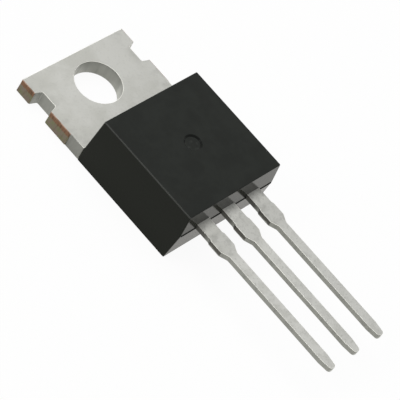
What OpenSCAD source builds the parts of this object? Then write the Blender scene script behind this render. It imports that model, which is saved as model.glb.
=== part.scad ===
// Power MOSFET in a three-lead, tab-mounted package (TO-220 outline).
// Origin: centre of the mounting hole on the back (heat sink) face.
// +X across the leads, +Y towards the free end of the tab, +Z out of the front face.

/* [Header plate] */
// Width of the plate between its stamped edges
header_w = 9.76; // [9.6:0.02:9.9]
// Thickness of the plate
header_t = 1.27; // [1.2:0.01:1.4]
// Mounting hole centre to the free edge of the tab
hole_to_edge = 2.8; // [2.6:0.05:3]
// Diameter of the mounting hole
hole_d = 3.6; // [3.5:0.05:3.9]
// Width of the back pad that stays bare under the moulding
pad_w = 8; // [7:0.1:8.4]
// How far the pad's upper edge overhangs to lock into the moulding
lock_step = 0.35; // [0.2:0.05:0.4]
// Thickness of the plate below that overhang
lock_z = 0.5; // [0.4:0.05:0.6]
// Mounting hole centre to the end of the bare back pad
hole_to_pad_end = 9.9; // [9:0.1:10.2]

/* [Side notches] */
// Depth of the notch in each side of the tab
notch_depth = 0.57; // [0.3:0.01:0.7]
// Length of the notch at its mouth
notch_mouth = 1.74; // [1.5:0.02:2]
// Length of the notch at its floor
notch_floor = 1.36; // [1.1:0.02:1.5]
// Mounting hole centre to the notch centre, towards the free edge
notch_y = 0.6; // [0.4:0.05:0.8]
// Radius of the notch's inner corners
notch_r = 0.14; // [0.05:0.01:0.2]

/* [Sheared stubs] */
// Length of the sheared stub below each notch
stub_l = 2.1; // [1.8:0.1:2.4]
// How far a stub stands out at its front edge
stub_front = 0.03; // [0.01:0.01:0.06]
// How far a stub stands out at its back edge
stub_back = 0.12; // [0.08:0.01:0.16]
// Share of the thickness that the punch cuts clean before the metal tears
clean_cut = 0.35; // [0.2:0.05:0.5]
// Radius of a stub's torn back edge
torn_r = 0.12; // [0.05:0.01:0.14]
// Radius of a stub's back corner next to the notch
torn_corner_r = 0.2; // [0.1:0.01:0.3]

/* [Moulding] */
// Mounting hole centre to the moulding
hole_to_body = 3.72; // [3.6:0.02:3.9]
// Length of the moulding at its parting line
body_l = 9.23; // [9:0.01:9.4]
// Width of the moulding at the back
body_w = 9.82; // [9.7:0.02:10]
// Height of the moulding from the back face
body_h = 4.45; // [4.3:0.05:4.6]
// Draft of the two long sides, in degrees
side_draft = 3.8; // [3:0.1:5]
// Draft of the two ends above the parting line, in degrees
end_draft = 4; // [3:0.5:6]
// Draft of the lead end below the parting line, in degrees
under_draft = 4; // [2:0.5:5]
// Height of the parting line above the leads' back surface
part_rise = 0.08; // [0:0.01:0.2]
// Radius of the moulding's edges
edge_r = 0.08; // [0.05:0.01:0.15]
// Thickness of the flash line along the parting line
flash_d = 0.1; // [0.06:0.01:0.14]
// Diameter of the ejector pin mark
pin_mark_d = 1.4; // [1:0.1:2]
// Depth of the ejector pin mark
pin_mark_depth = 0.1; // [0.05:0.01:0.2]
// Slope of the mark's edge, in degrees
pin_mark_slope = 35; // [30:5:60]
// Mounting hole centre to the ejector pin mark
hole_to_pin_mark = 8.3; // [8:0.1:9]

/* [Leads] */
// Distance between neighbouring leads
pitch = 2.54; // [2.5:0.01:2.6]
// Thickness of the lead strip
lead_t = 0.45; // [0.4:0.01:0.5]
// Height of the leads' back surface above the back face
lead_z = 2.38; // [2.3:0.02:2.5]
// Width of a lead at its thin part
lead_w = 0.76; // [0.7:0.01:0.85]
// Width of a lead where it leaves the moulding
lead_root_w = 1.22; // [1.16:0.02:1.3]
// Width of a lead over its dam bar stubs
dam_w = 1.38; // [1.34:0.02:1.5]
// Length of a lead from the moulding's parting line
lead_l = 13.2; // [12.8:0.1:13.6]
// Moulding to the start of the dam bar stubs
dam_start = 1.3; // [1.1:0.05:1.5]
// Length of the dam bar stubs
dam_l = 1.17; // [1:0.01:1.3]
// Length of the sloping shoulder beyond the stubs
shoulder_l = 0.6; // [0.5:0.02:0.7]
// Radius of the hollow between the shoulder and the thin part
shoulder_r = 0.4; // [0.2:0.05:0.5]
// Length of the tapered lead tip
tip_l = 0.95; // [0.8:0.05:1.1]
// Width of the lead tip before its corners are rounded
tip_w = 0.52; // [0.5:0.01:0.6]
// Radius of the lead tip's corners
tip_r = 0.24; // [0.2:0.01:0.24]

/* [Chip and bond wires] */
// Size of the chip across the package
chip_w = 4.6; // [4:0.1:5]
// Size of the chip along the package
chip_l = 4.4; // [4:0.1:4.6]
// Thickness of the chip
chip_t = 0.28; // [0.2:0.01:0.35]
// Thickness of the solder under the chip
solder_t = 0.06; // [0.04:0.01:0.08]
// Width of solder that shows round the chip
solder_rim = 0.15; // [0.1:0.05:0.25]
// Diameter of the source bond wires
source_wire_d = 0.38; // [0.3:0.01:0.4]
// Distance between neighbouring source bond wires
source_wire_pitch = 0.72; // [0.7:0.01:0.76]
// Diameter of the gate bond wire
gate_wire_d = 0.16; // [0.12:0.01:0.2]
// Height of a wire loop above the line between its two bonds
loop_rise = 0.85; // [0.7:0.05:0.9]

/* [Hidden] */
fine = 64;
hull_fine = 32;
// a cut runs this far past the surface that it opens
past = 0.5;

// header levels along Y
edge_y = hole_to_edge;
body_y = -hole_to_body;
pad_end_y = -hole_to_pad_end;
notch_low_y = notch_y - notch_mouth / 2;
notch_high_y = notch_y + notch_mouth / 2;

// moulding, worked out from its drafts
part_y = body_y - body_l;
part_z = lead_z + part_rise;
front_top_y = body_y - (body_h - header_t) * tan(end_draft);
front_low_y = part_y + (body_h - part_z) * tan(end_draft);
back_low_y = part_y + part_z * tan(under_draft);

// leads
source_x = pitch;
gate_x = -pitch;
tip_y = part_y - lead_l;
strip_top = lead_z + lead_t;
dam_r = 0.05;
shoulder_top_r = 0.15;
post_w = 2.5;
post_l = 1.35;
post_y = part_y + 1.05;
post_shift = 0.22;
anchor_r = 0.2;

// drain lead: rises from the plate to the lead level inside the moulding
neck_y = pad_end_y - lock_step;
neck_run = 0.35;
rise_angle = 60;
rise_run = (strip_top - header_t) / tan(rise_angle);
mitre = lead_t * tan(rise_angle / 2);

// chip
chip_y = -6.9;
chip_top = header_t + solder_t + chip_t;
source_bond_x = 0.75;
source_bond_y = chip_y - 0.9;
gate_bond_x = -1.75;
gate_bond_y = chip_y - 1.75;
post_bond_y = post_y + 0.75;

// a wedge bond flattens the wire's foot; these are in wire diameters
foot_wide = 1.4;
foot_long = 1.9;
foot_thick = 0.75;
heel_rise = 0.6;

function unit(v) = v / norm(v);

// half the width of the moulding at height z
function half_w(z) = body_w / 2 - z * tan(side_draft);

// for a rounded corner: the two points where its arc meets the straight edges
function arc_ends(before, corner, after, r) =
    let (
        to_before = unit(before - corner),
        to_after = unit(after - corner),
        half_angle = acos(to_before * to_after) / 2,
        reach = r / tan(half_angle)
    )
    [corner + to_before * reach, corner + to_after * reach];

// and the centre of that arc
function arc_centre(before, corner, after, r) =
    let (
        to_before = unit(before - corner),
        to_after = unit(after - corner),
        half_angle = acos(to_before * to_after) / 2
    )
    corner + unit(to_before + to_after) * r / sin(half_angle);

// the round tool for corner i of an outline
module corner_disc(points, radii, i) {
    n = len(points);
    r = abs(radii[i]);
    translate(arc_centre(points[(i + n - 1) % n], points[i], points[(i + 1) % n], r))
        circle(r = r, $fn = fine);
}

// an outline with rounded corners: a radius above 0 rounds a corner that points out,
// one below 0 fills a corner that points in, and 0 keeps the corner sharp
module soft_polygon(points, radii) {
    n = len(points);
    difference() {
        union() {
            polygon([
                for (i = [0:n - 1])
                    each radii[i] == 0
                        ? [points[i]]
                        : arc_ends(points[(i + n - 1) % n], points[i], points[(i + 1) % n], abs(radii[i]))
            ]);
            for (i = [0:n - 1])
                if (radii[i] > 0)
                    corner_disc(points, radii, i);
        }
        for (i = [0:n - 1])
            if (radii[i] < 0)
                corner_disc(points, radii, i);
    }
}

// turns a drawing in (Y, Z) into a solid of width w centred on X = 0
module across_x(w) {
    translate([-w / 2, 0, 0])
        rotate([90, 0, 90])
            linear_extrude(w)
                children();
}

// ---- leads ----

// outline of one lead outside the moulding, starting a little way inside it
module lead_outline(start_y) {
    root = lead_root_w / 2;
    dam = dam_w / 2;
    thin = lead_w / 2;
    dam_y = part_y - dam_start;
    shoulder_y = dam_y - dam_l;
    thin_y = shoulder_y - shoulder_l;
    step_run = dam_w - lead_root_w;
    right = [
        [root, start_y],
        [root, dam_y],
        [dam, dam_y - step_run],
        [dam, shoulder_y],
        [thin, thin_y],
        [thin, tip_y + tip_l],
        [tip_w / 2, tip_y]
    ];
    right_r = [0, 0, dam_r, shoulder_top_r, -shoulder_r, 0, tip_r];
    n = len(right);
    left = [for (i = [n - 1:-1:0]) [-right[i][0], right[i][1]]];
    left_r = [for (i = [n - 1:-1:0]) right_r[i]];
    soft_polygon(concat(right, left), concat(right_r, left_r));
}

// outer lead with its bonding post; side is -1 for the gate and 1 for the source
module outer_lead(side) {
    translate([side * pitch, 0, lead_z])
        difference() {
            union() {
                linear_extrude(lead_t)
                    lead_outline(post_y + anchor_r);
                translate([side * post_shift - post_w / 2, post_y, 0])
                    cube([post_w, post_l, lead_t]);
            }
            for (flank = [-1, 1])
                translate([flank * lead_root_w / 2, (post_y + part_y) / 2, -past])
                    cylinder(r = anchor_r, h = lead_t + 2 * past, $fn = fine);
        }
}

module gate_lead() {
    color("silver") outer_lead(-1);
}

module source_lead() {
    color("silver") outer_lead(1);
}

// ---- header: tab, chip pad and drain lead in one piece ----

module side_notch() {
    floor_x = header_w / 2 - notch_depth;
    slope = (notch_mouth - notch_floor) / 2 / notch_depth;
    mouth_x = header_w / 2 + past;
    mouth_half = notch_mouth / 2 + slope * past;
    translate([0, notch_y])
        soft_polygon(
            [
                [mouth_x, mouth_half],
                [floor_x, notch_floor / 2],
                [floor_x, -notch_floor / 2],
                [mouth_x, -mouth_half]
            ],
            [0, notch_r, notch_r, 0]
        );
}

module tab_outline() {
    difference() {
        translate([-header_w / 2, body_y])
            square([header_w, edge_y - body_y]);
        for (side = [0, 1])
            mirror([side, 0])
                side_notch();
    }
}

// the pad under the moulding, whose upper part overhangs on three sides
module chip_pad() {
    low_l = body_y - pad_end_y;
    translate([-pad_w / 2, pad_end_y, 0])
        cube([pad_w, low_l, header_t]);
    translate([-pad_w / 2 - lock_step, pad_end_y - lock_step, lock_z])
        cube([pad_w + 2 * lock_step, low_l + lock_step, header_t - lock_z]);
}

// what a tie bar leaves when it is sheared off: cut clean at the front, torn and flared behind;
// low_r and high_r round its two back corners
module sheared_stub(low_y, high_y, low_r, high_r) {
    stamped_x = header_w / 2;
    root_x = stamped_x - notch_depth / 2;
    clean_z = header_t * (1 - clean_cut);
    intersection() {
        translate([0, high_y + past, 0])
            rotate([90, 0, 0])
                linear_extrude(high_y - low_y + 2 * past)
                    soft_polygon(
                        [
                            [root_x, 0],
                            [stamped_x + stub_back, 0],
                            [stamped_x + stub_front, clean_z],
                            [stamped_x + stub_front, header_t],
                            [root_x, header_t]
                        ],
                        [0, torn_r, 0, 0, 0]
                    );
        across_x(header_w + 2 * past)
            soft_polygon(
                [[low_y, 0], [high_y, 0], [high_y, header_t], [low_y, header_t]],
                [low_r, high_r, 0, 0]
            );
    }
}

// side view of the drain lead's rise from the plate to the lead level
module drain_rise_profile() {
    low = header_t - lead_t;
    bend_y = neck_y - neck_run;
    crest_y = bend_y - rise_run;
    polygon([
        [neck_y + lock_step, low],
        [bend_y, low],
        [crest_y, lead_z],
        [part_y, lead_z],
        [part_y, strip_top],
        [crest_y + mitre, strip_top],
        [bend_y + mitre, header_t],
        [neck_y + lock_step, header_t]
    ]);
}

module drain_header() {
    color("silver")
        difference() {
            union() {
                linear_extrude(header_t) tab_outline();
                chip_pad();
                for (side = [0, 1])
                    mirror([side, 0, 0]) {
                        sheared_stub(notch_high_y, edge_y, torn_corner_r, 0);
                        sheared_stub(notch_low_y - stub_l, notch_low_y, torn_r, torn_corner_r);
                    }
                across_x(lead_root_w) drain_rise_profile();
                translate([0, 0, lead_z])
                    linear_extrude(lead_t)
                        lead_outline(part_y + past);
            }
            translate([0, 0, -past])
                cylinder(d = hole_d, h = header_t + 2 * past, $fn = fine);
        }
}

// ---- chip, solder and bond wires ----

module chip_plate(rim, low_z, t) {
    translate([-chip_w / 2 - rim, chip_y - chip_l / 2 - rim, low_z])
        cube([chip_w + 2 * rim, chip_l + 2 * rim, t]);
}

module chip_solder() {
    color("dimgray") chip_plate(solder_rim, header_t, solder_t);
}

module silicon_chip() {
    color("slategray") chip_plate(0, header_t + solder_t, chip_t);
}

// flattened foot of a wedge bond on the surface at z = 0; its heel is at X = 0 and its toe at +X
module bond_foot(d) {
    foot_w = foot_wide * d;
    foot_l = foot_long * d;
    linear_extrude(foot_thick * d) {
        translate([0, -foot_w / 2])
            square([foot_l, foot_w]);
        for (end = [0, foot_l])
            translate([end, 0])
                circle(d = foot_w, $fn = fine);
    }
}

// a wire of diameter d looped from a bond at point a to a bond at point b
module bond_wire(a, b, d) {
    run = norm([b[0] - a[0], b[1] - a[1]]);
    climb = b[2] - a[2];
    chord = norm([run, climb]);
    tilt = atan2(climb, run);
    loop_r = (chord * chord / 4 + loop_rise * loop_rise) / (2 * loop_rise);
    half_turn = asin(chord / 2 / loop_r);
    translate(a)
        rotate([0, 0, atan2(b[1] - a[1], b[0] - a[0])]) {
            rotate([0, 0, 180]) bond_foot(d);
            translate([run, 0, climb]) bond_foot(d);
            translate([0, 0, heel_rise * d])
                rotate([90, 0, 0])
                    rotate([0, 0, tilt])
                        translate([chord / 2, loop_rise - loop_r])
                            rotate([0, 0, 90 - half_turn])
                                rotate_extrude(angle = 2 * half_turn, $fn = fine)
                                    translate([loop_r, 0])
                                        circle(d = d, $fn = fine);
        }
}

module gate_wire() {
    color("gainsboro")
        bond_wire(
            [gate_bond_x, gate_bond_y, chip_top],
            [gate_x - post_shift, post_bond_y, strip_top],
            gate_wire_d
        );
}

// place is -1, 0 or 1, counted across the package
module source_wire(place) {
    offset_x = place * source_wire_pitch;
    color("gainsboro")
        bond_wire(
            [source_bond_x + offset_x, source_bond_y, chip_top],
            [source_x + post_shift + offset_x, post_bond_y, strip_top],
            source_wire_d
        );
}

// ---- moulding ----

// rounded block with drafted sides; the hull's corners follow the drafts
module body_block() {
    disc_h = 0.02;
    front_z = body_h - edge_r;
    hull()
        for (side = [-1, 1]) {
            for (y = [front_top_y - edge_r, front_low_y + edge_r])
                translate([side * (half_w(body_h) - edge_r), y, front_z])
                    sphere(r = edge_r, $fn = hull_fine);
            for (corner = [[0, body_y - edge_r], [header_t, body_y - edge_r], [0, back_low_y + edge_r]])
                translate([side * (half_w(corner[0]) - edge_r), corner[1], corner[0]])
                    cylinder(r = edge_r, h = disc_h, $fn = hull_fine);
            translate([side * (half_w(part_z) - edge_r), part_y + edge_r, part_z - disc_h / 2])
                cylinder(r = edge_r, h = disc_h, $fn = hull_fine);
        }
}

// thin line of flash where the mould halves meet across the lead end
module flash_line() {
    flash_l = 2 * (half_w(part_z) - 2 * edge_r);
    translate([-flash_l / 2, part_y, part_z])
        rotate([0, 90, 0])
            cylinder(d = flash_d, h = flash_l, $fn = fine);
}

// shallow dish that the ejector pin leaves
module pin_mark() {
    slope_run = pin_mark_depth / tan(pin_mark_slope);
    translate([0, -hole_to_pin_mark, body_h - pin_mark_depth])
        cylinder(
            d1 = pin_mark_d - 2 * slope_run,
            d2 = pin_mark_d + 2 * slope_run,
            h = 2 * pin_mark_depth,
            $fn = fine
        );
}

module moulded_body() {
    color([0.12, 0.12, 0.12])
        difference() {
            union() {
                body_block();
                flash_line();
            }
            pin_mark();
            drain_header();
            gate_lead();
            source_lead();
            silicon_chip();
            chip_solder();
            gate_wire();
            for (place = [-1:1])
                source_wire(place);
        }
}

moulded_body();
drain_header();
gate_lead();
source_lead();
silicon_chip();
chip_solder();
gate_wire();
source_wire(-1);  // source_wire_1
source_wire(0);  // source_wire_2
source_wire(1);  // source_wire_3
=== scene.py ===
"""Looks for the power MOSFET: finishes, softened edges, studio floor, lights and camera."""

from functools import cached_property
from math import radians

import bpy
from mathutils import Matrix, Vector


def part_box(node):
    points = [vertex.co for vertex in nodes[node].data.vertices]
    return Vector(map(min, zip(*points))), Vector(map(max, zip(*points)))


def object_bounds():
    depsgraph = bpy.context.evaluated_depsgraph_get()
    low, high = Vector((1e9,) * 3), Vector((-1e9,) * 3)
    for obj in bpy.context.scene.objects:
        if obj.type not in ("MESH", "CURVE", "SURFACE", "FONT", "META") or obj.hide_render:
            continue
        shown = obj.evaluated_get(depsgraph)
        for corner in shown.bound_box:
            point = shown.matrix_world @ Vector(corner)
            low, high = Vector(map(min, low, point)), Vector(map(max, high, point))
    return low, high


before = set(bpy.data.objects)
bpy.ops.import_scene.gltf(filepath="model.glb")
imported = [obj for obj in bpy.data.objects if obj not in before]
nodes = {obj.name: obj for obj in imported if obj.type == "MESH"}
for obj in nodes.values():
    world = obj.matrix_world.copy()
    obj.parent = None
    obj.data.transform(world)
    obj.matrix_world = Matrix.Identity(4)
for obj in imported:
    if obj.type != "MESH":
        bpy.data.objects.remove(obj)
cad_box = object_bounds()

MM = 0.001

# ---- places on the part, in millimetres in the CAD frame ----


def box_mm(node):
    """Lowest and highest corner of a CAD node, in millimetres."""
    low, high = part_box(node)
    return Vector(low) / MM, Vector(high) / MM


body_low, body_high = box_mm("moulded_body")
gate_low, _ = box_mm("gate_lead")

# header plate: half the width between its stamped edges, and its thickness
PLATE_HALF_WIDTH = 4.88
PLATE_THICKNESS = 1.27
# the lower tie-bar stubs end just short of this place, on their way to the moulding
STUBS_END_Y = -2.45
# leads: pitch, back surface, and the dam bar stubs with their sheared faces
LEAD_PITCH = 2.54
LEAD_BACK_Z = gate_low.z
DAM_START_Y = body_low.y - 1.25
DAM_END_Y = body_low.y - 2.42
DAM_FACE_X = 0.68
# ejector pin mark, on the middle line of the moulding's front face
PIN_MARK_RADIUS = 0.7

# ---- node helpers ----


class NodeTree:
    """Adds nodes to a node tree with short calls."""

    def __init__(self, tree):
        self.tree = tree

    def node(self, kind, **settings):
        made = self.tree.nodes.new(kind)
        for key, value in settings.items():
            setattr(made, key, value)
        return made

    def feed(self, socket, value):
        """Links an output to a socket, or writes a plain value or a colour on it."""
        if isinstance(value, bpy.types.NodeSocket):
            self.tree.links.new(value, socket)
        elif socket.type == "RGBA":
            socket.default_value = (*value, 1.0)
        else:
            socket.default_value = value

    def feed_all(self, sockets, *values):
        for socket, value in zip(sockets, values):
            self.feed(socket, value)

    def math(self, operation, a, b=0.0, c=0.0):
        made = self.node("ShaderNodeMath", operation=operation)
        self.feed_all(made.inputs, a, b, c)
        return made.outputs[0]

    def times(self, first, *others):
        """Product of two or more values."""
        for other in others:
            first = self.math("MULTIPLY", first, other)
        return first

    def split(self, vector):
        """The vector's X, Y and Z."""
        made = self.node("ShaderNodeSeparateXYZ")
        self.feed(made.inputs[0], vector)
        return made.outputs


class Shader(NodeTree):
    """Builds one material, with its patterns fixed to the part in millimetres."""

    def __init__(self, name):
        self.material = bpy.data.materials.new(name)
        self.material.use_nodes = True
        super().__init__(self.material.node_tree)

    @cached_property
    def place(self):
        """Place on the part, in millimetres."""
        made = self.node("ShaderNodeVectorMath", operation="SCALE")
        self.feed(made.inputs[0], self.node("ShaderNodeTexCoord").outputs["Object"])
        self.feed(made.inputs["Scale"], 1 / MM)
        return made.outputs[0]

    @cached_property
    def axes(self):
        """The place's X, Y and Z."""
        return self.split(self.place)

    def stretched(self, sx, sy, sz):
        """The place scaled per axis, for grain that runs one way."""
        made = self.node("ShaderNodeVectorMath", operation="MULTIPLY")
        self.feed_all(made.inputs, self.place, (sx, sy, sz))
        return made.outputs[0]

    def noise(self, scale, detail=3.0, roughness=0.55, vector=None):
        """Noise from 0 to 1, with about scale patches to a millimetre."""
        made = self.node("ShaderNodeTexNoise")
        self.feed(made.inputs["Vector"], vector or self.place)
        self.feed(made.inputs["Scale"], scale)
        self.feed(made.inputs["Detail"], detail)
        self.feed(made.inputs["Roughness"], roughness)
        return made.outputs["Fac"]

    def band(self, value, start, end, low=0.0, high=1.0):
        """Moves smoothly from low to high as value goes from start to end."""
        made = self.node("ShaderNodeMapRange", interpolation_type="SMOOTHSTEP")
        self.feed_all(made.inputs, value, start, end, low, high)
        return made.outputs["Result"]

    def between(self, value, low, high, blur):
        """1 where value lies from low to high, fading over blur at both ends."""
        return self.times(self.band(value, low - blur, low), self.band(value, high + blur, high))

    def mix(self, amount, a, b):
        """Colour a, turning into colour b as amount goes from 0 to 1."""
        made = self.node("ShaderNodeMix", data_type="RGBA")
        self.feed(made.inputs["Factor"], amount)
        self.feed(made.inputs["A"], a)
        self.feed(made.inputs["B"], b)
        return made.outputs["Result"]

    def bump(self, height, depth_mm):
        made = self.node("ShaderNodeBump")
        self.feed(made.inputs["Height"], height)
        self.feed(made.inputs["Distance"], depth_mm * MM)
        return made.outputs["Normal"]

    def steepness(self):
        """0 on faces that lie along the back face, 1 on walls that stand up from it."""
        normal = self.node("ShaderNodeNewGeometry").outputs["True Normal"]
        return self.math("SUBTRACT", 1.0, self.math("ABSOLUTE", self.split(normal)["Z"]))

    def finish(self, **inputs):
        """Feeds the surface's inputs, named with _ for a space, and gives the material."""
        surface = self.tree.nodes["Principled BSDF"]
        for name, value in inputs.items():
            self.feed(surface.inputs[name.replace("_", " ")], value)
        return self.material


# ---- tin plate and sheared copper ----

TIN = (0.57, 0.57, 0.545)
TIN_DULL = (0.52, 0.52, 0.49)
TIN_LEG = (0.64, 0.64, 0.615)
TIN_ROOT_PAINTED_LIGHT = (0.85, 0.85, 0.81)
TIN_EDGE_HIGHLIGHT = (0.93, 0.93, 0.89)
TIN_SPECK = (0.36, 0.36, 0.34)
TIN_WALL = (0.36, 0.365, 0.34)
TIN_WALL_PAINTED_SHEEN = (0.66, 0.67, 0.64)
TIN_WALL_DRAGGED = (0.24, 0.245, 0.23)
TIN_WALL_PAINTED_SHADE = (0.17, 0.17, 0.155)
DAM_SHEARED = (0.08, 0.075, 0.065)
COPPER_CLEAN = (0.24, 0.13, 0.075)
COPPER_DARK = (0.13, 0.075, 0.045)
COPPER_TORN = (0.2, 0.2, 0.12)
COPPER_BROWN = (0.225, 0.185, 0.15)
COPPER_RIM_HIGHLIGHT = (0.5, 0.34, 0.27)

# where the finish changes: each change starts at the first number and ends at the second
DULL_TO_CLEAR_X = (-5.0, 5.0)
RUBBED_X = (3.2, 4.7)
TAB_Y = (body_high.y - 0.5, body_high.y - 0.4)
TAB_BY_BODY_Y = (body_high.y + 1.7, body_high.y + 1.2)
LEG_Y = (DAM_END_Y, DAM_END_Y - 1.5)
STUB_FACE_X = (PLATE_HALF_WIDTH + 0.008, PLATE_HALF_WIDTH + 0.02)
STUB_RIM_Z = (PLATE_THICKNESS - 0.11, PLATE_THICKNESS - 0.06)

# stretches of the leads, from end to end
ROOT_Y = (DAM_START_Y + 0.6, body_low.y + 0.5)
STAINED_Y = (DAM_END_Y - 0.4, DAM_START_Y + 1.0)

# a cut is torn up to this height and clean above it, and the line between them is blurred
DAM_TORN_Z = LEAD_BACK_Z + 0.1
STUB_TORN_Z = 0.83
TORN_LINE_BLUR = 0.05

# steepness of a rounded edge that gets a painted highlight, and the steepness over which a face
# becomes a wall
TIN_EDGE_STEEP = (0.02, 0.4)
TIN_WALL_STEEP = (0.25, 0.65)


def on_tab(shader):
    """1 on the tab, 0 from the moulding on."""
    return shader.band(shader.axes["Y"], *TAB_Y)


def at_root(shader):
    """1 where the leads leave the moulding."""
    return shader.between(shader.axes["Y"], *ROOT_Y, blur=0.6)


def clean_cut(shader, torn_z, wander, grain, high=1.0):
    """Goes from 0 to high at a cut's torn line, which wanders from torn_z with the grain."""
    height = shader.math("MULTIPLY_ADD", grain, wander, shader.axes["Z"])
    line = torn_z + wander / 2
    return shader.band(height, line - TORN_LINE_BLUR, line + TORN_LINE_BLUR, high=high)


def tin_face(shader, across, cloud):
    """Plating on flat faces: clouds, paler legs, painted light on the lead roots, stains, rubbed
    patches, specks.
    """
    y = shader.axes["Y"]
    colour = shader.mix(shader.band(cloud, 0.42, 0.66), TIN, TIN_DULL)

    mottle = shader.band(shader.noise(1.3, detail=4.0), 0.42, 0.62, 1.0, 0.3)
    colour = shader.mix(shader.times(shader.band(y, *LEG_Y), mottle), colour, TIN_LEG)
    # painted light: lifts the moulding's shadow on the lead roots
    colour = shader.mix(shader.times(at_root(shader), 0.5), colour, TIN_ROOT_PAINTED_LIGHT)

    stain = shader.band(shader.noise(1.7, detail=5.0, roughness=0.7), 0.46, 0.66, high=0.45)
    stained = shader.times(stain, shader.between(y, *STAINED_Y, blur=0.4))
    colour = shader.mix(stained, colour, TIN_SPECK)

    patch = shader.band(shader.noise(0.9, detail=5.0, roughness=0.6), 0.44, 0.6, high=0.35)
    rubbed = shader.times(patch, on_tab(shader), shader.band(across, *RUBBED_X))
    colour = shader.mix(rubbed, colour, TIN_SPECK)

    speck = shader.band(shader.noise(6.5, detail=2.0), 0.57, 0.68)
    fainter_on_tab = shader.band(y, body_low.y, body_high.y, 0.35, 0.16)
    return shader.mix(shader.times(speck, fainter_on_tab), colour, TIN_SPECK)


def tin_wall(shader, across):
    """Plating on cut walls: darker, partly a duller sheared finish and partly painted shade,
    dragged by the punch, with a painted sheen at a low angle and painted shade by the moulding.
    """
    y = shader.axes["Y"]
    # TIN_WALL is darker, partly a duller sheared finish and partly painted shade; painted sheen:
    # walls seen at a low angle are painted paler
    sheen = shader.band(shader.node("ShaderNodeLayerWeight").outputs["Facing"], 0.36, 0.85)
    colour = shader.mix(sheen, TIN_WALL, TIN_WALL_PAINTED_SHEEN)

    drag = shader.noise(2.6, vector=shader.stretched(1.0, 1.0, 0.06))
    colour = shader.mix(shader.band(drag, 0.42, 0.7, high=0.45), colour, TIN_WALL_DRAGGED)

    # painted shade: walls darkened at the lead roots and on the tab by the moulding
    by_body = shader.times(shader.band(y, *TAB_BY_BODY_Y, high=0.4), on_tab(shader))
    shaded = shader.math("MAXIMUM", at_root(shader), by_body)
    colour = shader.mix(shaded, colour, TIN_WALL_PAINTED_SHADE)

    sheared = shader.times(
        shader.band(across, DAM_FACE_X - 0.02, DAM_FACE_X),
        shader.between(y, DAM_END_Y, DAM_START_Y, blur=0.1),
        clean_cut(shader, DAM_TORN_Z, wander=0.2, grain=shader.noise(2.0), high=0.85),
    )
    return shader.mix(sheared, colour, DAM_SHEARED)


def tin(shader, across):
    """Colour and roughness of matt tin; across is the distance from the lead's middle line."""
    lean = shader.band(shader.axes["X"], *DULL_TO_CLEAR_X, 0.1, -0.1)
    cloud = shader.math("ADD", shader.noise(0.4, detail=4.0), lean)
    steep = shader.steepness()
    wall = shader.band(steep, *TIN_WALL_STEEP)
    colour = shader.mix(wall, tin_face(shader, across, cloud), tin_wall(shader, across))
    # painted highlight: the rounded edges are painted paler and made rougher
    edge_highlight = shader.between(steep, *TIN_EDGE_STEEP, blur=0.02)
    colour = shader.mix(edge_highlight, colour, TIN_EDGE_HIGHLIGHT)
    roughness = shader.band(cloud, 0.3, 0.7, 0.44, 0.54)
    return colour, shader.math("MULTIPLY_ADD", edge_highlight, 0.3, roughness)


def sheared_copper(shader):
    """Cut faces of the tie-bar stubs: burnished near the front face, torn behind it, with a
    broken painted highlight along the rim.
    """
    streak = shader.noise(3.0, vector=shader.stretched(1.0, 2.4, 0.5))
    torn = shader.mix(shader.band(shader.noise(1.6), 0.4, 0.6), COPPER_TORN, COPPER_BROWN)
    torn = shader.mix(shader.band(streak, 0.5, 0.75, high=0.5), torn, COPPER_DARK)
    clean = shader.mix(shader.band(streak, 0.45, 0.7), COPPER_CLEAN, COPPER_DARK)
    is_clean = clean_cut(shader, STUB_TORN_Z, wander=0.3, grain=shader.noise(2.2, detail=4.0))
    colour = shader.mix(is_clean, torn, clean)
    # painted highlight along the stubs' top rim, broken up by noise
    highlight_breaks = shader.band(shader.noise(3.5), 0.4, 0.6, 0.2, 1.0)
    rim_highlight = shader.times(shader.band(shader.axes["Z"], *STUB_RIM_Z), highlight_breaks)
    return shader.mix(rim_highlight, colour, COPPER_RIM_HIGHLIGHT)


def tinned(name, centre_x=0.0, bare_stubs=False):
    """Tin plate for a piece whose lead stands at centre_x."""
    shader = Shader(name)
    across = shader.math("ABSOLUTE", shader.math("SUBTRACT", shader.axes["X"], centre_x))
    colour, roughness = tin(shader, across)
    if bare_stubs:
        on_stub = shader.band(across, *STUB_FACE_X)
        colour = shader.mix(on_stub, colour, sheared_copper(shader))
    return shader.finish(
        Base_Color=colour,
        Metallic=0.85,
        Roughness=roughness,
        Normal=shader.bump(shader.noise(26.0), depth_mm=0.002),
    )


# ---- moulding compound ----

COMPOUND = (0.0205, 0.0225, 0.0205)
COMPOUND_PALE = (0.0245, 0.027, 0.0245)
COMPOUND_WALL_SHADE = (0.002, 0.004, 0.0005)
COMPOUND_EDGE_HIGHLIGHT = (0.06, 0.062, 0.058)
COMPOUND_DISH_SHADE = (0.011, 0.012, 0.011)
COMPOUND_SMUDGE = (0.034, 0.037, 0.034)
COMPOUND_GLOSS_TINT = (0.12, 0.12, 0.12)
COMPOUND_IOR = 1.55

# the front face's long edges, and the rim and the floor of the pin mark
FRONT_EDGE_X = (4.4, 4.6)
PIN_MARK_X = (PIN_MARK_RADIUS + 0.1, PIN_MARK_RADIUS)
PIN_MARK_FLOOR_Z = (body_high.z - 0.3, body_high.z - 0.08)

# steepness of a rounded edge that gets a painted highlight, and the steepness over which the pin
# mark's slope or a wall sets in
COMPOUND_EDGE_STEEP = (0.05, 0.8)
PIN_MARK_STEEP = (0.08, 0.16)
COMPOUND_WALL_STEEP = (0.8, 0.9)


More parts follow.
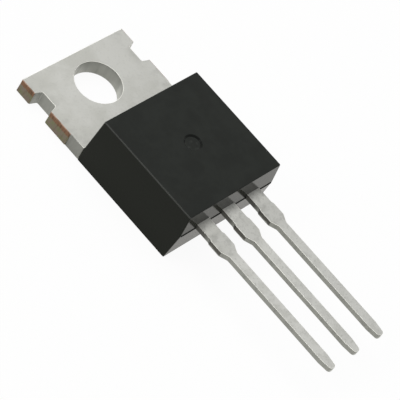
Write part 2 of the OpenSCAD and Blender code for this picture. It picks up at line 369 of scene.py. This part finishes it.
def moulding_compound():
    """Black epoxy with fine grain, a painted highlight on the long edges, painted shade on the
    walls and the pin mark's slope, and a smudged pin mark.
    """
    shader = Shader("moulding_compound")
    x, _, z = shader.axes
    across = shader.math("ABSOLUTE", x)
    steep = shader.steepness()
    cloud = shader.noise(0.8, detail=4.0)
    colour = shader.mix(shader.band(cloud, 0.35, 0.7), COMPOUND, COMPOUND_PALE)

    by_mark = shader.band(across, *PIN_MARK_X)
    sunk = shader.between(z, *PIN_MARK_FLOOR_Z, blur=0.01)
    smudge = shader.band(shader.noise(3.0), 0.5, 0.7)
    colour = shader.mix(shader.times(by_mark, sunk, smudge), colour, COMPOUND_SMUDGE)
    # painted shade on the pin mark's sloping wall
    slope = shader.band(steep, *PIN_MARK_STEEP)
    colour = shader.mix(shader.times(by_mark, slope), colour, COMPOUND_DISH_SHADE)

    # painted highlight on the front face's long rounded edges
    edge = shader.between(steep, *COMPOUND_EDGE_STEEP, blur=0.05)
    edge_highlight = shader.times(edge, shader.band(across, *FRONT_EDGE_X))
    colour = shader.mix(edge_highlight, colour, COMPOUND_EDGE_HIGHLIGHT)
    # painted shade: the upright walls are painted darker than the front face
    wall = shader.band(steep, *COMPOUND_WALL_STEEP)

    grain = shader.noise(14.0, detail=4.0, roughness=0.65)
    return shader.finish(
        Base_Color=shader.mix(wall, colour, COMPOUND_WALL_SHADE),
        Roughness=shader.band(grain, 0.35, 0.7, 0.14, 0.22),
        IOR=COMPOUND_IOR,
        Specular_Tint=COMPOUND_GLOSS_TINT,
        Normal=shader.bump(grain, depth_mm=0.001),
    )


# ---- what the moulding hides ----

SILICON, SILICON_PALE = (0.2, 0.21, 0.25), (0.26, 0.27, 0.31)
SOLDER, SOLDER_PALE = (0.33, 0.33, 0.34), (0.45, 0.45, 0.46)
WIRE, WIRE_PALE = (0.78, 0.78, 0.79), (0.84, 0.84, 0.85)


def silicon():
    shader = Shader("silicon")
    colour = shader.mix(shader.noise(3.0), SILICON, SILICON_PALE)
    return shader.finish(Base_Color=colour, Metallic=0.6, Roughness=0.25)


def solder():
    shader = Shader("solder")
    grain = shader.noise(6.0)
    colour = shader.mix(grain, SOLDER, SOLDER_PALE)
    roughness = shader.band(grain, 0.3, 0.7, 0.4, 0.6)
    return shader.finish(Base_Color=colour, Metallic=0.9, Roughness=roughness)


def bond_wire():
    shader = Shader("bond_wire")
    colour = shader.mix(shader.noise(9.0), WIRE, WIRE_PALE)
    return shader.finish(Base_Color=colour, Metallic=1.0, Roughness=0.3)


def dress(node, material):
    mesh = nodes[node].data
    mesh.materials.clear()
    mesh.materials.append(material)


dress("moulded_body", moulding_compound())
dress("drain_header", tinned("tinned_header", bare_stubs=True))
dress("gate_lead", tinned("tinned_gate_lead", centre_x=-LEAD_PITCH))
dress("source_lead", tinned("tinned_source_lead", centre_x=LEAD_PITCH))
dress("silicon_chip", silicon())
dress("chip_solder", solder())
wire_finish = bond_wire()
for wire in ("gate_wire", "source_wire_1", "source_wire_2", "source_wire_3"):
    dress(wire, wire_finish)

# ---- softened edges ----

SHARP_EDGE = radians(35)
SAME_PLANE = radians(0.5)
# points closer than this, in millimetres, are joined before and after the bevel
WELD_GAP = 0.002
CLOSING_GAP = 0.0002
# all of the stubs' edges lie further out than this
STUB_EDGES_X = PLATE_HALF_WIDTH - 0.02


def edges_to_round():
    """Node group that weights the sharp edges for the bevel, but not those of the tie-bar
    stubs, whose own small roundings leave no room for one."""
    group = bpy.data.node_groups.new("edges_to_round", "GeometryNodeTree")
    for side in ("INPUT", "OUTPUT"):
        group.interface.new_socket("Geometry", in_out=side, socket_type="NodeSocketGeometry")
    tree = NodeTree(group)
    angle = tree.node("GeometryNodeInputMeshEdgeAngle").outputs["Unsigned Angle"]
    x, y, _ = tree.split(tree.node("GeometryNodeInputPosition").outputs["Position"])
    sharp = tree.math("GREATER_THAN", angle, SHARP_EDGE)
    inside = tree.math("LESS_THAN", tree.math("ABSOLUTE", x), STUB_EDGES_X * MM)
    past_stubs = tree.math("LESS_THAN", y, STUBS_END_Y * MM)
    weight = tree.times(sharp, tree.math("MAXIMUM", inside, past_stubs))

    mark = tree.node("GeometryNodeStoreNamedAttribute", data_type="FLOAT", domain="EDGE")
    tree.feed(mark.inputs["Geometry"], tree.node("NodeGroupInput").outputs["Geometry"])
    tree.feed(mark.inputs["Name"], "bevel_weight_edge")
    tree.feed(mark.inputs["Value"], weight)
    tree.feed(tree.node("NodeGroupOutput").inputs["Geometry"], mark.outputs["Geometry"])
    return group


def soften(node, edges, radius_mm):
    """Rounds a CAD node's sharp edges with modifiers, so that its mesh stays as it is."""
    modifiers = nodes[node].modifiers
    modifiers.new("weld", "WELD").merge_threshold = WELD_GAP * MM
    flat = modifiers.new("flat", "DECIMATE")
    flat.decimate_type = "DISSOLVE"
    flat.angle_limit = SAME_PLANE
    modifiers.new("edges", "NODES").node_group = edges
    bevel = modifiers.new("soft_edges", "BEVEL")
    bevel.width = radius_mm * MM
    bevel.segments = 3
    bevel.limit_method = "WEIGHT"
    bevel.use_clamp_overlap = False
    bevel.loop_slide = False
    bevel.harden_normals = True
    modifiers.new("close", "WELD").merge_threshold = CLOSING_GAP * MM


sharp_edges = edges_to_round()
soften("drain_header", sharp_edges, radius_mm=0.04)
soften("gate_lead", sharp_edges, radius_mm=0.03)
soften("source_lead", sharp_edges, radius_mm=0.03)

# ---- studio ----

FLOOR_SIZE = 1.6
# the floor lies this far below the part, so that the two don't share a plane
FLOOR_GAP = 0.00002
FLOOR_COLOUR = (0.92, 0.92, 0.92)
WHITE = (1.0, 1.0, 1.0)
# share of the floor that glows: plain white to the camera, tinted in the metal
SEEN_SHARE = 0.94
MIRRORED_SHARE = 0.6
MIRRORED_TINT = (1.0, 0.985, 0.94)
LIGHT_TINT = (1.0, 1.0, 0.985)
WORLD_STRENGTH = 0.4


def studio_floor():
    """White floor that keeps a part of the object's shadow."""
    bpy.ops.mesh.primitive_plane_add(size=FLOOR_SIZE, location=(0, 0, -FLOOR_GAP))
    floor = bpy.context.object
    floor.name = "studio_floor"
    shader = Shader("studio_floor")
    paths = shader.node("ShaderNodeLightPath").outputs
    seen = paths["Is Camera Ray"]
    mirrored = shader.math("MAXIMUM", paths["Is Glossy Ray"], paths["Is Transmission Ray"])
    share = shader.math(
        "ADD", shader.times(seen, SEEN_SHARE), shader.times(mirrored, MIRRORED_SHARE)
    )
    diffuse = shader.node("ShaderNodeBsdfDiffuse")
    shader.feed(diffuse.inputs["Color"], FLOOR_COLOUR)
    glow = shader.node("ShaderNodeEmission")
    shader.feed(glow.inputs["Color"], shader.mix(seen, MIRRORED_TINT, WHITE))
    both = shader.node("ShaderNodeMixShader")
    shader.feed_all(both.inputs, share, diffuse.outputs[0], glow.outputs[0])
    shader.feed(shader.tree.nodes["Material Output"].inputs["Surface"], both.outputs[0])
    floor.data.materials.append(shader.material)


def add_object(data):
    """Puts a lamp or a camera into the scene."""
    made = bpy.data.objects.new(data.name, data)
    bpy.context.scene.collection.objects.link(made)
    return made


def softbox(name, place, size, power):
    """Round soft lamp at place, turned towards the middle of the part."""
    lamp = bpy.data.lights.new(name, "AREA")
    lamp.shape = "DISK"
    lamp.size = size
    lamp.energy = power
    lamp.color = LIGHT_TINT
    holder = add_object(lamp)
    holder.location = place
    holder.rotation_mode = "QUATERNION"
    part_centre = (cad_box[0] + cad_box[1]) / 2
    holder.rotation_quaternion = (part_centre - Vector(place)).to_track_quat("-Z", "Y")


def studio_world():
    world = bpy.data.worlds.new("studio")
    bpy.context.scene.world = world
    world.use_nodes = True
    background = world.node_tree.nodes["Background"]
    background.inputs["Color"].default_value = (*LIGHT_TINT, 1.0)
    background.inputs["Strength"].default_value = WORLD_STRENGTH


studio_floor()
softbox("key_softbox", place=(0.05, 0.2, 0.47), size=0.5, power=1.55)
softbox("fill_softbox", place=(-0.29, 0.245, 0.32), size=0.26, power=0.45)
studio_world()

# ---- camera, fitted to the corners that the photograph shows ----

CAMERA_PLACE_MM = Vector((-107.65, -49.64, 127.58))
CAMERA_RIGHT = Vector((0.6668, -0.6471, 0.3695))
CAMERA_UP = Vector((0.3964, 0.7279, 0.5595))
CAMERA_BACK = Vector((-0.6310, -0.2266, 0.7419))


def photo_camera():
    camera = bpy.data.cameras.new("photo_camera")
    camera.sensor_width = 36.0
    camera.lens = 224.87
    camera.clip_start = 0.01
    camera.clip_end = 5.0
    stand = add_object(camera)
    turn = Matrix((CAMERA_RIGHT, CAMERA_UP, CAMERA_BACK)).transposed().to_4x4()
    stand.matrix_world = Matrix.Translation(CAMERA_PLACE_MM * MM) @ turn
    bpy.context.scene.camera = stand


photo_camera()
bpy.context.scene.view_settings.view_transform = "Standard"
